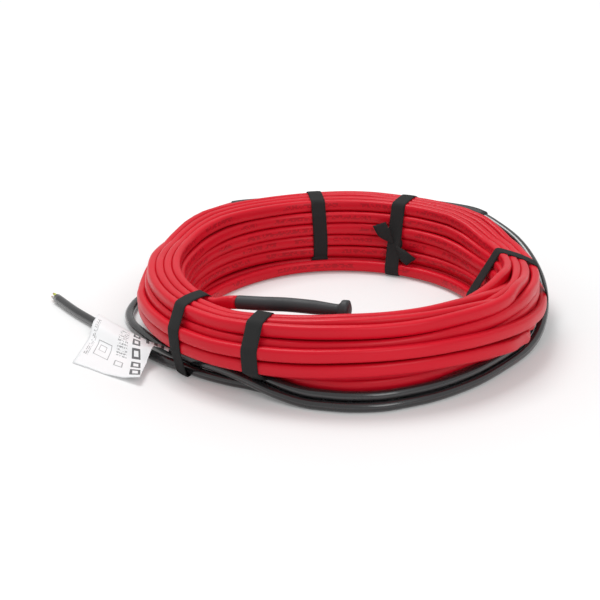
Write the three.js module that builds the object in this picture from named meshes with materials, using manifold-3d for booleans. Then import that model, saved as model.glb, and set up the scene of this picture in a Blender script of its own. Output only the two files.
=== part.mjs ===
// Tied coil of flat red heating cable with its black cold lead, standing on a floor.
// Millimetres, +Z up. The origin is on the coil's axis, at the floor.
// Angles are in degrees, counterclockwise from +X as seen from above, and 270 is the front.
import * as THREE from 'three';
import Module from 'manifold-3d';
import { mergeVertices } from 'three/addons/utils/BufferGeometryUtils.js';

const wasm = await Module();
wasm.setup();

// Heating cable: a flat oval section that stands on its narrow edge in the coil
const cableWidth = 5;
const cableHeight = 7;
const cableEdgeRadius = 1.3;

// Cold lead, splice sleeve and end seal
const leadDiameter = 5.2;
const sleeveDiameter = 8;
const sealDiameter = 7.2;
const sealNeckDiameter = 5.6;
const sealTipDiameter = 11;
const sealTipLength = 5.5;

// Coil of heating cable: its bore, and how deep the turns lie from the bore to the outside
const boreRadius = 85.6;
const turnsDepth = 29.8;
const coilRadius = boreRadius + turnsDepth;
const layerHeight = 7.15;
const seamDepth = 1;

// Ties
const tieWidth = 8.6;
const tieThickness = 0.6;
const tieClearance = 0.4;

// Label, and the gaps between pieces that touch
const labelThickness = 0.5;
const touchGap = 0.3;
const facetGap = 0.25; // more room outside a round wall, because a faceted tube cuts its bends short

// The ties pass under the coil, so the cable stands a tie's thickness above the floor
const coilBottom = tieThickness + tieClearance;

// How far each layer of turns stands back from the bore and from the outside, lowest layer first
const layers = [
  { bore: 0.6, outside: 16 },
  { bore: 0, outside: 11.4 },
  { bore: 0, outside: 2.9 },
  { bore: 0.6, outside: 0 },
  { bore: 2.9, outside: 7.4 },
  { bore: 9.4, outside: 9.6 },
].map((setback, index) => ({
  inner: boreRadius + setback.bore,
  outer: coilRadius - setback.outside,
  low: coilBottom + index * layerHeight,
  high: coilBottom + (index + 1) * layerHeight,
}));
const shoulderLayer = layers[4];
const crownLayer = layers[5];

// The last turn lies on the outer shoulder, and the first one on the inner shoulder
const outerTurnRadius = shoulderLayer.outer + touchGap + facetGap + cableWidth / 2;
const outerTurnZ = shoulderLayer.low + touchGap + cableHeight / 2;
const innerEndRadius = crownLayer.inner - touchGap - cableWidth / 2;
const innerEndZ = crownLayer.low + touchGap + cableHeight / 2;

// The sleeve lies on the same outer shoulder at the back
const sleeveRadius = shoulderLayer.outer + touchGap + facetGap + sleeveDiameter / 2;
const sleeveZ = shoulderLayer.low + touchGap + sleeveDiameter / 2;
const sleeveEndSpread = 0.7;
const sleeveStartLift = 5.6;
const sleeveEndLift = 6.6;
const sleeveStart = { angle: 127, radius: sleeveRadius + sleeveEndSpread, z: sleeveZ + sleeveStartLift };
const sleeveEnd = { angle: 39, radius: sleeveRadius + sleeveEndSpread, z: sleeveZ + sleeveEndLift };

// One loose turn stands a little inside the bore's foot at the back
const looseTurnRadius = layers[1].inner - touchGap - cableWidth / 2;
const looseTurnBulge = 1.7;
const looseTurnZ = coilBottom + cableHeight / 2;
const looseTurnArc = { start: -20, end: 200 };

// Lead turns: two on the floor and one in the groove above them, outside the coil's foot
const leadRadius = leadDiameter / 2;
const leadFloorZ = coilBottom + leadRadius;
const leadFootGap = 5.3; // the turns above the coil's foot overhang the lead
const leadFootRadius = layers[0].outer + tieClearance + tieThickness + touchGap + leadRadius + leadFootGap;
const leadRise = leadDiameter * Math.sin(Math.PI / 3);
const leadTurns = [
  { radius: leadFootRadius + leadDiameter, z: leadFloorZ, from: -90, to: 45 },
  { radius: leadFootRadius + leadRadius, z: leadFloorZ + leadRise, from: -5, to: 185 },
  { radius: leadFootRadius, z: leadFloorZ, from: 135, to: 270 },
];
const leadCoilOuter = leadTurns[0].radius + leadRadius;
const leadCoilTop = leadTurns[1].z + leadRadius;

// Finishes
const redSheath = { color: 0xc40a24, roughness: 0.38, metalness: 0 };
const blackSheath = { color: 0x26262a, roughness: 0.45, metalness: 0 };
const shrinkTube = { color: 0x303034, roughness: 0.6, metalness: 0 };
const wovenTape = { color: 0x2b2b2b, roughness: 0.9, metalness: 0 };
const whiteFilm = { color: 0xf0f0ee, roughness: 0.5, metalness: 0 };

const part = new THREE.Group();

function addPiece(name, geometry, finish) {
  const mesh = new THREE.Mesh(geometry, new THREE.MeshStandardMaterial(finish));
  mesh.name = name;
  part.add(mesh);
}

function at(radius, angle, z) {
  const turn = THREE.MathUtils.degToRad(angle);
  return new THREE.Vector3(radius * Math.cos(turn), radius * Math.sin(turn), z);
}

// Turns a closed outline of (radius, z) points round the coil's axis
function turnedRing(outline, segments = 60) {
  const geometry = new THREE.LatheGeometry([...outline, outline[0]], segments);
  return geometry.rotateX(Math.PI / 2);
}

// Section of the heating cable, its long way first because that way stands upright on a path
function cableSection() {
  const x = cableHeight / 2;
  const y = cableWidth / 2;
  const edge = cableEdgeRadius;
  return new THREE.Shape([
    new THREE.Vector2(x, -y + edge),
    new THREE.Vector2(x, y - edge),
    new THREE.Vector2(x - edge, y),
    new THREE.Vector2(edge - x, y),
    new THREE.Vector2(-x, y - edge),
    new THREE.Vector2(-x, edge - y),
    new THREE.Vector2(edge - x, -y),
    new THREE.Vector2(x - edge, -y),
  ]);
}

function roundSection(diameter, sides = 10) {
  const corners = [];
  for (let side = 0; side < sides; side += 1) {
    const turn = (2 * Math.PI * side) / sides;
    corners.push(new THREE.Vector2(Math.cos(turn), Math.sin(turn)).multiplyScalar(diameter / 2));
  }
  return new THREE.Shape(corners);
}

function tubeAlong(points, section, stepLength = 14) {
  const path = new THREE.CatmullRomCurve3(points, false, 'centripetal');
  const steps = Math.max(2, Math.round(path.getLength() / stepLength));
  return new THREE.ExtrudeGeometry(section, { extrudePath: path, steps });
}

// Points of the coil's side from the lowest layer up; side is 1 outside and -1 at the bore
function coilSide(side) {
  const edge = cableEdgeRadius;
  const outline = [];
  layers.forEach((layer, index) => {
    const radius = side > 0 ? layer.outer : layer.inner;
    outline.push([radius, layer.low + edge], [radius, layer.high - edge]);
    const above = layers[index + 1];
    if (!above) return;
    const next = side > 0 ? above.outer : above.inner;
    const stepIn = (radius - next) * side;
    if (stepIn > 2 * edge) outline.push([radius - side * edge, layer.high]);
    const seam = side > 0 ? Math.min(radius, next) : Math.max(radius, next);
    outline.push([seam - side * seamDepth, layer.high]);
    if (stepIn < -2 * edge) outline.push([next - side * edge, layer.high]);
  });
  return outline;
}

// Rounded tops of the turns that lie side by side between two radii, with a seam between each two
function turnsAcross(from, to, z, seamZ) {
  const count = Math.round(Math.abs(to - from) / cableWidth);
  const pitch = (to - from) / count;
  const edge = cableEdgeRadius * Math.sign(to - from);
  const outline = [];
  for (let turn = 0; turn < count; turn += 1) {
    const start = from + turn * pitch;
    outline.push([start + edge, z], [start + pitch - edge, z]);
    if (turn < count - 1) outline.push([start + pitch, seamZ]);
  }
  return outline;
}

function toVectors(pairs) {
  return pairs.map(([radius, z]) => new THREE.Vector2(radius, z));
}

function coilOutline() {
  const floor = layers[0];
  const top = crownLayer;
  return toVectors([
    ...turnsAcross(floor.inner, floor.outer, floor.low, floor.low + seamDepth),
    ...coilSide(1),
    ...turnsAcross(top.outer, top.inner, top.high, top.high - seamDepth),
    ...coilSide(-1).reverse(),
  ]);
}

function arcPoints(centre, radius, from, to, count) {
  const points = [];
  for (let step = 0; step < count; step += 1) {
    const turn = THREE.MathUtils.degToRad(from + ((to - from) * step) / (count - 1));
    const offset = new THREE.Vector2(Math.cos(turn), Math.sin(turn)).multiplyScalar(radius);
    points.push(offset.add(centre));
  }
  return points;
}

function leadCoilOutline() {
  return leadTurns.flatMap(({ radius, z, from, to }) =>
    arcPoints(new THREE.Vector2(radius, z), leadRadius, from, to, 5));
}

// Corners of one cable or sleeve section, for a tie that wraps it
function cableCorners(radius, z) {
  const corners = [];
  const halfWidth = cableWidth / 2;
  const halfHeight = cableHeight / 2;
  for (const side of [-1, 1]) {
    for (const up of [-1, 1]) {
      const place = (out, rise) => new THREE.Vector2(radius + side * out, z + up * rise);
      corners.push(place(halfWidth, halfHeight - cableEdgeRadius));
      corners.push(place(halfWidth - cableEdgeRadius, halfHeight));
    }
  }
  return corners;
}

// Counterclockwise convex outline round a set of points
function hullOf(points) {
  const sorted = [...points].sort((a, b) => a.x - b.x || a.y - b.y);
  const bend = (o, a, b) => (a.x - o.x) * (b.y - o.y) - (a.y - o.y) * (b.x - o.x);
  const half = (list) => {
    const chain = [];
    for (const point of list) {
      while (chain.length > 1 && bend(chain.at(-2), chain.at(-1), point) <= 0.2) chain.pop();
      chain.push(point);
    }
    return chain.slice(0, -1);
  };
  return [...half(sorted), ...half(sorted.reverse())];
}

// Moves every side of a counterclockwise convex outline outward by the same distance
function grown(outline, distance) {
  return outline.map((point, index) => {
    const before = outline.at(index - 1);
    const after = outline[(index + 1) % outline.length];
    const normal = (from, to) => new THREE.Vector2(to.y - from.y, from.x - to.x).normalize();
    const first = normal(before, point);
    const second = normal(point, after);
    const mitre = first.clone().add(second);
    return point.clone().add(mitre.multiplyScalar(distance / (1 + first.dot(second))));
  });
}

// A flat tape closed round a section; it turns by skew degrees on its way from the bore outward
function tieBand(wrapped, angle, skew = 0) {
  const hull = hullOf(wrapped);
  const skins = [grown(hull, tieClearance), grown(hull, tieClearance + tieThickness)];
  const middle = (boreRadius + coilRadius) / 2;
  const positions = [];
  for (const skin of skins) {
    for (const point of skin) {
      const turn = angle + (skew * (point.x - middle)) / (coilRadius - boreRadius);
      const half = THREE.MathUtils.radToDeg(tieWidth / 2 / point.x);
      positions.push(...at(point.x, turn - half, point.y), ...at(point.x, turn + half, point.y));
    }
  }
  const count = hull.length;
  const vertex = (skin, index, side) => (skin * count + (index % count)) * 2 + side;
  const indices = [];
  const quad = (a, b, c, d) => indices.push(a, b, c, a, c, d);
  for (let i = 0; i < count; i += 1) {
    quad(vertex(1, i, 0), vertex(1, i, 1), vertex(1, i + 1, 1), vertex(1, i + 1, 0));
    quad(vertex(0, i, 0), vertex(0, i + 1, 0), vertex(0, i + 1, 1), vertex(0, i, 1));
    quad(vertex(0, i, 0), vertex(1, i, 0), vertex(1, i + 1, 0), vertex(0, i + 1, 0));
    quad(vertex(0, i, 1), vertex(0, i + 1, 1), vertex(1, i + 1, 1), vertex(1, i, 1));
  }
  const geometry = new THREE.BufferGeometry();
  geometry.setAttribute('position', new THREE.Float32BufferAttribute(positions, 3));
  geometry.setIndex(indices);
  return geometry;
}

function toSolid(geometry) {
  const bare = geometry.clone();
  bare.deleteAttribute('normal');
  bare.deleteAttribute('uv');
  const merged = mergeVertices(bare, 1e-4);
  const mesh = new wasm.Mesh({
    numProp: 3,
    vertProperties: new Float32Array(merged.attributes.position.array),
    triVerts: new Uint32Array(merged.index.array),
  });
  return new wasm.Manifold(mesh);
}

function toGeometry(solid) {
  const mesh = solid.getMesh();
  const geometry = new THREE.BufferGeometry();
  geometry.setAttribute('position', new THREE.Float32BufferAttribute(mesh.vertProperties, 3));
  geometry.setIndex([...mesh.triVerts]);
  return geometry;
}

// Red coil and the stretches of cable that leave its plain ring shape
const coil = coilOutline();
addPiece('heating_cable_coil', turnedRing(coil), redSheath);

function arcPath(start, end, place, count) {
  const points = [];
  for (let step = 0; step <= count; step += 1) {
    const along = step / count;
    points.push(place(start + (end - start) * along, along));
  }
  return points;
}

const looseTurnPath = arcPath(looseTurnArc.start, looseTurnArc.end, (angle, along) => {
  const bulge = looseTurnBulge * Math.sin(Math.PI * along) ** 0.5;
  return at(looseTurnRadius - bulge, angle, looseTurnZ);
}, 22);
addPiece('heating_cable_loose_turn', tubeAlong(looseTurnPath, cableSection()), redSheath);

// The last turn runs round the outer shoulder and peels off upward into the splice sleeve
const sleeveEndGap = 0.48;
const peelBulge = 0.8;
const peelOff = [
  at(sleeveStart.radius, sleeveStart.angle + sleeveEndGap, sleeveStart.z),
  at(sleeveStart.radius + peelBulge, 138, sleeveStart.z - 0.4),
  at(sleeveStart.radius, 150, sleeveStart.z - 2),
  at(outerTurnRadius + peelBulge, 165, outerTurnZ + 1.6),
];
const outerTurnPath = [
  ...peelOff,
  ...arcPath(180, 380, (angle) => at(outerTurnRadius, angle, outerTurnZ), 20),
];
addPiece('heating_cable_outer_turn', tubeAlong(outerTurnPath, cableSection()), redSheath);

// End seal: a straight sleeve over the cable's inner end, with a crimped and flared tip
const sealStartInset = 2;
const sealStartRise = 2.65;
const sealTipRise = 4.45;
const sealStart = at(boreRadius - sealStartInset, 232, crownLayer.low + sealStartRise);
const sealTip = at(boreRadius, 272.6, crownLayer.low + sealTipRise);
const sealAxis = sealTip.clone().sub(sealStart);
const sealDirection = sealAxis.clone().normalize();
const sealLength = sealAxis.length();
const sealProfile = toVectors([
  [0, 0],
  [sealDiameter / 2 - 0.3, 0],
  [sealDiameter / 2, 2],
  [sealDiameter / 2, sealLength * 0.62],
  [sealNeckDiameter / 2, sealLength - sealTipLength - 3],
  [sealNeckDiameter / 2, sealLength - sealTipLength],
  [sealTipDiameter / 2, sealLength - 3.5],
  [sealTipDiameter / 2, sealLength - 1.5],
  [sealTipDiameter / 2 - 1.6, sealLength],
  [0, sealLength],
]);
const seal = new THREE.LatheGeometry(sealProfile, 20);
seal.applyQuaternion(new THREE.Quaternion().setFromUnitVectors(
  new THREE.Vector3(0, 1, 0), sealDirection));
seal.translate(sealStart.x, sealStart.y, sealStart.z);
addPiece('end_seal', seal, shrinkTube);

const sealEntryLength = 3;
const innerEndPath = [
  ...arcPath(150, 218, (angle) => at(innerEndRadius, angle, innerEndZ), 7),
  at(innerEndRadius - 1.6, 223, innerEndZ),
  at(innerEndRadius - 6, 227.3, innerEndZ),
  sealStart.clone().addScaledVector(sealDirection, -touchGap - sealEntryLength),
  sealStart.clone().addScaledVector(sealDirection, -touchGap),
];
addPiece('heating_cable_inner_end', tubeAlong(innerEndPath, cableSection(), 9), redSheath);

// Splice sleeve along the outer shoulder at the back, its two ends standing a little higher
const sleevePath = arcPath(sleeveStart.angle, sleeveEnd.angle, (angle, along) => {
  const end = along < 0.5 ? sleeveStart : sleeveEnd;
  const lift = Math.max(0, Math.abs(along - 0.5) * 2 - 0.4) / 0.6;
  const blend = lift * lift;
  const radius = sleeveRadius + (end.radius - sleeveRadius) * blend;
  return at(radius, angle, sleeveZ + (end.z - sleeveZ) * blend);
}, 16);
addPiece('splice_sleeve', tubeAlong(sleevePath, roundSection(sleeveDiameter, 12), 12), shrinkTube);

// Cold lead: from the sleeve down the outside to the floor, its turns, and its free end
const leadDropRadius = coilRadius + tieClearance + tieThickness + touchGap + leadRadius + 0.3;
const leadRestOut = 3.2;
const leadRestLift = leadDiameter + 0.1;
const leadRestRadius = leadTurns[0].radius + leadRestOut;
const leadRestZ = leadFloorZ + leadRestLift;
const leadStartPath = [
  at(sleeveEnd.radius, sleeveEnd.angle - sleeveEndGap, sleeveEnd.z),
  at(sleeveEnd.radius + 2, 28, sleeveEnd.z - 1),
  at(leadDropRadius - 0.8, 16, sleeveEnd.z - 3.5),
  at(leadDropRadius, 6, 30.5),
  at(leadDropRadius, -4, 23.5),
  at(leadDropRadius - 1, -14, 15.5),
  at(leadRestRadius + 0.2, -23, leadRestZ + 1.4),
  at(leadRestRadius, -31, leadRestZ),
];
addPiece('cold_lead_start', tubeAlong(leadStartPath, roundSection(leadDiameter), 11), blackSheath);
addPiece('cold_lead_coil', turnedRing(leadCoilOutline()), blackSheath);

const freeEndZ = leadRadius + 0.3;
const freeEndPath = [
  at(leadCoilOuter + touchGap + leadRadius + 0.2, 213.5, freeEndZ),
  new THREE.Vector3(-109.8, -51, freeEndZ),
  new THREE.Vector3(-122, -31.5, freeEndZ),
  new THREE.Vector3(-137, -10.2, freeEndZ),
  new THREE.Vector3(-152.3, 8.6, freeEndZ),
  new THREE.Vector3(-167, 29, freeEndZ),
];
addPiece('cold_lead_free_end', tubeAlong(freeEndPath, roundSection(leadDiameter), 12), blackSheath);

// Three conductor cores stand out of the cut end
const coreDiameter = 1.7;
const coreLength = 3.4;
const coreSpread = 1.15;
const cores = [
  { name: 'core_earth', angle: 90, color: 0xb9c23a },
  { name: 'core_neutral', angle: 210, color: 0xc9c9c4 },
  { name: 'core_live', angle: 330, color: 0x9a5a2c },
];
const cutEnd = freeEndPath.at(-1);
const cutDirection = cutEnd.clone().sub(freeEndPath.at(-2)).normalize();
for (const { name, angle, color } of cores) {
  const turn = THREE.MathUtils.degToRad(angle);
  const core = new THREE.CylinderGeometry(coreDiameter / 2, coreDiameter / 2, coreLength, 10);
  core.translate(coreSpread * Math.cos(turn), coreLength / 2 + touchGap, coreSpread * Math.sin(turn));
  core.applyQuaternion(new THREE.Quaternion().setFromUnitVectors(new THREE.Vector3(0, 1, 0), cutDirection));
  core.translate(cutEnd.x, cutEnd.y, cutEnd.z);
  addPiece(name, core, { color, roughness: 0.5, metalness: 0 });
}

// Label: a film laid over the free end; each column runs from its far edge to its near edge
const labelColumns = [
  { far: [-137, -1], near: [-141.9, -58] },
  { far: [-130, -9], near: [-132.5, -65] },
  { far: [-124.5, -17], near: [-122.5, -72.5] },
  { far: [-121.5, -27], near: [-112.5, -78.5] },
  { far: [-118.5, -34], near: [-104.5, -83] },
  { far: [-113.5, -46], near: [-104, -72] },
];
const labelRows = 9;
const labelFloorGap = 0.4;
const labelOverLead = freeEndZ + leadRadius + touchGap + 0.2;
const labelHumpWidth = 8;

function distanceToLead(x, y) {
  let nearest = Infinity;
  for (let index = 1; index < freeEndPath.length; index += 1) {
    const stretch = new THREE.Line3(
      freeEndPath[index - 1].clone().setZ(0), freeEndPath[index].clone().setZ(0));
    const spot = new THREE.Vector3(x, y, 0);
    const closest = stretch.closestPointToPoint(spot, true, new THREE.Vector3());
    nearest = Math.min(nearest, closest.distanceTo(spot));
  }
  return nearest;
}

function labelSheet() {
  const positions = [];
  const columns = labelColumns.length;
  for (const lift of [0, labelThickness]) {
    for (const { far, near } of labelColumns) {
      for (let row = 0; row <= labelRows; row += 1) {
        const across = row / labelRows;
        const x = far[0] + (near[0] - far[0]) * across;
        const y = far[1] + (near[1] - far[1]) * across;
        const hump = Math.exp(-((Math.max(0, distanceToLead(x, y) - leadRadius) / labelHumpWidth) ** 2));
        positions.push(x, y, labelFloorGap + (labelOverLead - labelFloorGap) * hump + lift);
      }
    }
  }
  const layerSize = columns * (labelRows + 1);
  const vertex = (lift, column, row) => lift * layerSize + column * (labelRows + 1) + row;
  const indices = [];
  const quad = (a, b, c, d) => indices.push(a, b, c, a, c, d);
  for (let c = 0; c < columns - 1; c += 1) {
    for (let r = 0; r < labelRows; r += 1) {
      quad(vertex(1, c, r), vertex(1, c, r + 1), vertex(1, c + 1, r + 1), vertex(1, c + 1, r));
      quad(vertex(0, c, r), vertex(0, c + 1, r), vertex(0, c + 1, r + 1), vertex(0, c, r + 1));
    }
    quad(vertex(0, c, 0), vertex(1, c, 0), vertex(1, c + 1, 0), vertex(0, c + 1, 0));
    const last = labelRows;
    quad(vertex(0, c, last), vertex(0, c + 1, last), vertex(1, c + 1, last), vertex(1, c, last));
  }
  const end = columns - 1;
  for (let r = 0; r < labelRows; r += 1) {
    quad(vertex(0, 0, r), vertex(0, 0, r + 1), vertex(1, 0, r + 1), vertex(1, 0, r));
    quad(vertex(0, end, r), vertex(1, end, r), vertex(1, end, r + 1), vertex(0, end, r + 1));
  }
  const geometry = new THREE.BufferGeometry();
  geometry.setAttribute('position', new THREE.Float32BufferAttribute(positions, 3));
  geometry.setIndex(indices);
  return geometry;
}
addPiece('label', labelSheet(), whiteFilm);

// Ties: each is a tape round the coil and whatever lies on the coil there
const outerTurnCorners = cableCorners(outerTurnRadius, outerTurnZ);
const innerEndCorners = cableCorners(innerEndRadius - facetGap * 2, innerEndZ);
const looseTurnCorners = cableCorners(looseTurnRadius - looseTurnBulge - facetGap, looseTurnZ);
const sleeveMiddle = new THREE.Vector2(sleeveRadius, sleeveZ);
const sleeveCorners = arcPoints(sleeveMiddle, sleeveDiameter / 2 + 0.2, 0, 330, 12);
const leadCoilCorners = leadCoilOutline();

const frontLeftWrapped = [...coil, ...outerTurnCorners, ...innerEndCorners, ...leadCoilCorners];
addPiece('tie_front_left', tieBand(frontLeftWrapped, 219.5, 6), wovenTape);
addPiece('tie_front', tieBand([...coil, ...outerTurnCorners], 247), wovenTape);
addPiece('tie_back_left', tieBand([...coil, ...sleeveCorners], 99.5), wovenTape);
addPiece('tie_right', tieBand([...coil, ...outerTurnCorners, ...looseTurnCorners], 3, -18), wovenTape);

// The knotted tie also holds the loose turn; its knot and two tails stand in the bore
const knotAngle = 67;
const knotZ = 18;
const knotRadius = looseTurnRadius - looseTurnBulge;
const knotSize = new THREE.Vector3(7, 9, 7);
const tailSetback = 3.4;
const knotTails = [
  { lean: -62, length: 13, z: knotZ + 3, slide: 5.5 },
  { lean: -52, length: 13, z: knotZ - 3.5, slide: -4.5 },
];

function knottedTie() {
  let solid = toSolid(tieBand([...coil, ...sleeveCorners, ...looseTurnCorners], knotAngle));
  const place = (geometry) => geometry.rotateZ(THREE.MathUtils.degToRad(knotAngle));
  const knot = new THREE.SphereGeometry(0.5, 12, 8).scale(knotSize.x, knotSize.y, knotSize.z);
  solid = solid.add(toSolid(place(knot.translate(knotRadius, 0, knotZ))));
  for (const { lean, length, z, slide } of knotTails) {
    const tail = new THREE.BoxGeometry(tieThickness + 0.4, tieWidth - 1, length);
    tail.rotateX(THREE.MathUtils.degToRad(lean));
    solid = solid.add(toSolid(place(tail.translate(knotRadius - tailSetback, slide, z))));
  }
  return toGeometry(solid);
}
addPiece('tie_back_knotted', knottedTie(), wovenTape);

export default part;
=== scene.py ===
"""Tied coil of flat red heating cable: wound cable, cold lead, seal, sleeve, ties, label and studio.

Lengths in the winding are millimetres, as on a drawing, and each mesh is made in metres.
Angles are degrees counterclockwise from +X as seen from above; the camera looks along +Y.
"""

import functools
import math

import bpy
import numpy as np
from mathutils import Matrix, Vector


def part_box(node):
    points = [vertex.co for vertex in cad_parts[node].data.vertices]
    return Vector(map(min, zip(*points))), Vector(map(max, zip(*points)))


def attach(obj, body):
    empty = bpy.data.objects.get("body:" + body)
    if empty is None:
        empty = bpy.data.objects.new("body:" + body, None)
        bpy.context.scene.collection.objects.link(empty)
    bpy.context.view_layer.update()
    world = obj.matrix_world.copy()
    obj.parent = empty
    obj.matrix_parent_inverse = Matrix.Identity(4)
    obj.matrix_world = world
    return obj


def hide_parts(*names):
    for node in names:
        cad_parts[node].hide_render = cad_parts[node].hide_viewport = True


bl_info = {
    "name": "Tied heating cable coil",
    "version": (1, 0, 0),
    "blender": (4, 5, 0),
    "location": "3D View > Sidebar > Cable coil",
    "description": "Winds, ties and labels a coil of floor heating cable round its packed frame",
    "category": "Add Mesh",
}

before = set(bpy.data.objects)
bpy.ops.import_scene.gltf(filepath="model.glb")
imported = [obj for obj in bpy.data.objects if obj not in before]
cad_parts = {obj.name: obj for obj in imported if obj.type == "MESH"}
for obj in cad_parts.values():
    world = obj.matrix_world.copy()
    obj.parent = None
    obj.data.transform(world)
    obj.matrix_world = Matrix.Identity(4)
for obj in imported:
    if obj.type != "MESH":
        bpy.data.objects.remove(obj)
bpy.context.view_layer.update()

MM = 0.001
STATIONS = 132
SEED = 11

# Where things stand round the coil
SEAL_ANGLE = 230.5
SLEEVE_START_ANGLE = 127.0
SLEEVE_END_ANGLE = 40.0
SHIFT_ANGLE = -36.0
SHIFT_HALF = 34.0
TIES = {
    "tie_front_left": {"angle": 219.5, "skew": 6.0, "lead": True},
    "tie_front": {"angle": 247.0, "skew": 0.0, "lead": False},
    "tie_back_left": {"angle": 99.5, "skew": 0.0, "lead": False},
    "tie_back_knotted": {"angle": 67.0, "skew": 0.0, "lead": False},
    "tie_right": {"angle": 3.0, "skew": -18.0, "lead": False},
}
SECTION_MIDDLE = 100.5
SECTION_DEPTH = 29.8


class CableSizes(bpy.types.PropertyGroup):
    """Sizes of the heating cable and of its coil."""

    width: bpy.props.FloatProperty(
        name="Narrow way", description="Cable across its narrow way", default=5.0 * MM, unit="LENGTH")
    height: bpy.props.FloatProperty(
        name="Wide way", description="Cable across its wide way", default=7.0 * MM, unit="LENGTH")
    layer: bpy.props.FloatProperty(
        name="Layer", description="Rise from one layer of turns to the next", default=7.15 * MM,
        unit="LENGTH")
    column: bpy.props.FloatProperty(
        name="Column", description="Step from one turn to the turn outside it", default=5.1 * MM,
        unit="LENGTH")
    first_column: bpy.props.FloatProperty(
        name="First column", description="Radius of the innermost turns", default=88.3 * MM, unit="LENGTH")
    wander: bpy.props.FloatProperty(
        name="Wander", description="How far a turn strays between two ties", default=1.1 * MM, unit="LENGTH")


class LeadSizes(bpy.types.PropertyGroup):
    """Sizes of the black cold lead, the splice sleeve and the end seal."""

    diameter: bpy.props.FloatProperty(
        name="Lead", description="Diameter of the cold lead", default=5.2 * MM, unit="LENGTH")
    sleeve: bpy.props.FloatProperty(
        name="Sleeve", description="Diameter of the splice sleeve", default=8.0 * MM, unit="LENGTH")
    seal: bpy.props.FloatProperty(
        name="Seal", description="Diameter of the end seal", default=7.2 * MM, unit="LENGTH")


class TieSizes(bpy.types.PropertyGroup):
    """Sizes of the tape ties."""

    width: bpy.props.FloatProperty(
        name="Tape width", description="Width of the tape", default=8.6 * MM, unit="LENGTH")
    thickness: bpy.props.FloatProperty(
        name="Tape thickness", description="Thickness of the tape", default=0.55 * MM, unit="LENGTH")


class Finishes(bpy.types.PropertyGroup):
    """Colours of the finishes."""

    red: bpy.props.FloatVectorProperty(
        name="Red sheath", description="Colour of the heating cable", subtype="COLOR",
        default=(0.62, 0.004, 0.018))
    black: bpy.props.FloatVectorProperty(
        name="Black sheath", description="Colour of the cold lead", subtype="COLOR",
        default=(0.013, 0.013, 0.014))
    shrink: bpy.props.FloatVectorProperty(
        name="Shrink tube", description="Colour of the sleeve and the seal", subtype="COLOR",
        default=(0.024, 0.024, 0.026))
    tape: bpy.props.FloatVectorProperty(
        name="Tape", description="Colour of the woven tape", subtype="COLOR", default=(0.018, 0.018, 0.018))
    film: bpy.props.FloatVectorProperty(
        name="Label film", description="Colour of the label", subtype="COLOR", default=(0.86, 0.87, 0.88))
    floor: bpy.props.FloatVectorProperty(
        name="Floor", description="Colour of the studio floor", subtype="COLOR", default=(0.86, 0.86, 0.86))


def mm(length):
    """A length in metres as millimetres."""
    return length / MM


def polar(radius, angle, z):
    """Points from radius, angle in degrees and height; any of them may be an array."""
    turn = np.radians(angle)
    radius, turn, z = np.broadcast_arrays(radius, turn, z)
    return np.stack([radius * np.cos(turn), radius * np.sin(turn), z], axis=-1).astype(float)


def smoothstep(value):
    """Eases 0..1 with level ends."""
    value = np.clip(value, 0.0, 1.0)
    return value * value * (3.0 - 2.0 * value)


def share(value, width):
    """How much of a width a value has covered, from 0 to 1."""
    return np.clip(value / width, 0.0, 1.0)


def at_angle(table, angle):
    """Values at an angle from a table whose first column is the angle, one for each further column."""
    turn, *columns = zip(*table)
    return [np.interp(angle, turn, column) for column in columns]


def angle_between(a, b):
    """Smallest turn from b to a in degrees, signed."""
    return (np.asarray(a) - b + 180.0) % 360.0 - 180.0


# Shader helpers


class Wire:
    """One socket whose arithmetic adds Math nodes."""

    def __init__(self, finish, socket):
        self.finish = finish
        self.socket = socket

    def math(self, operation, *values):
        node = self.finish.tree.nodes.new("ShaderNodeMath")
        node.operation = operation
        for place, value in enumerate((self, *values)):
            self.finish.feed(node.inputs[place], value)
        return Wire(self.finish, node.outputs[0])

    def reflected(self, operation, value):
        node = self.finish.tree.nodes.new("ShaderNodeMath")
        node.operation = operation
        self.finish.feed(node.inputs[0], value)
        self.finish.feed(node.inputs[1], self)
        return Wire(self.finish, node.outputs[0])

    def __add__(self, other):
        return self.math("ADD", other)

    def __radd__(self, other):
        return self.reflected("ADD", other)

    def __sub__(self, other):
        return self.math("SUBTRACT", other)

    def __rsub__(self, other):
        return self.reflected("SUBTRACT", other)

    def __mul__(self, other):
        return self.math("MULTIPLY", other)

    def __rmul__(self, other):
        return self.reflected("MULTIPLY", other)

    def __truediv__(self, other):
        return self.math("DIVIDE", other)

    def __gt__(self, other):
        return self.math("GREATER_THAN", other)

    def __lt__(self, other):
        return self.math("LESS_THAN", other)

    def __abs__(self):
        return self.math("ABSOLUTE")

    def __mod__(self, other):
        return self.math("FLOORED_MODULO", other)

    def floor(self):
        return self.math("FLOOR")

    def sin(self):
        return self.math("SINE")

    def clamp(self):
        return self.math("MAXIMUM", 0.0).math("MINIMUM", 1.0)


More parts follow.
